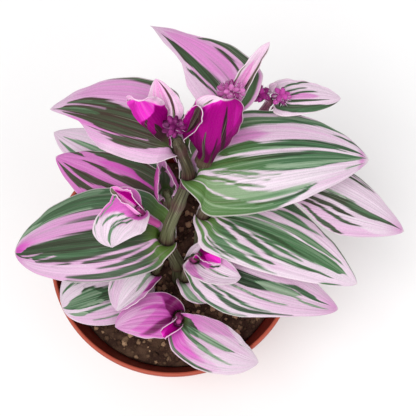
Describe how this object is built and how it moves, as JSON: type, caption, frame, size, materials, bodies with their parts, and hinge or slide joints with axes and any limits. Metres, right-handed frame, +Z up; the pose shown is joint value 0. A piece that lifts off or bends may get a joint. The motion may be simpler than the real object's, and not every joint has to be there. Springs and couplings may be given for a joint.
{
  "type": "potted tradescantia",
  "caption": "Trailing house plant with pink, white and green striped pointed leaves and small purple buds, standing in a round tapered plastic nursery pot filled with soil.",
  "frame": {"origin": "centre of the pot's flat underside, on the surface that it stands on", "axes": "+Z up; -Y towards the viewer of the picture; +X to the viewer's right"},
  "size_m": [0.1725, 0.1333, 0.2362],
  "materials": {
    "pot": "terracotta-coloured moulded plastic, satin, slightly dusty",
    "soil": "dark peat with tan crumbs",
    "stem": "smooth green stem with faint pink stripes",
    "leaf": "satin leaf, green stripes on lilac pink and white",
    "bract": "satin magenta underside with a pale margin",
    "buds": "purple buds with fine white hairs"
  },
  "bodies": {
    "root": {"pot": "pot", "soil": "soil", "stem_main": "stem", "stem_branch": "stem", "stem_right": "stem", "stem_left": "stem", "stem_front_right": "stem", "stem_front": "stem", "stem_front_left": "stem", "stem_side_shoot": "stem", "stem_back_left": "stem", "stem_back_right": "stem", "leaf_right_high": "leaf", "leaf_left_mid": "leaf", "leaf_left_high": "leaf", "leaf_right_mid": "leaf", "leaf_right_low": "leaf", "leaf_right_back": "leaf", "leaf_back_high": "leaf", "leaf_left_back": "leaf", "leaf_left_low_back": "leaf", "leaf_back_low_left": "leaf", "leaf_back_low": "leaf", "leaf_back_low_right": "leaf", "leaf_front_right": "leaf", "leaf_front_left": "leaf", "leaf_left_low": "leaf", "leaf_left_folded": "leaf", "leaf_front_small": "leaf", "leaf_front_bud": "bract", "leaf_back_small": "leaf", "leaf_cup_right": "leaf", "leaf_cup_right_inner": "bract", "leaf_cup_left": "leaf", "leaf_cup_left_inner": "bract", "leaf_rolled": "leaf", "bract_upright": "bract", "bract_narrow": "bract", "bract_curl": "bract", "bract_left": "bract", "bract_pointed": "bract", "bract_right": "bract", "buds_left": "buds", "buds_middle": "buds", "buds_right_inner": "buds", "buds_right_outer": "buds"}
  },
  "joints": []
}
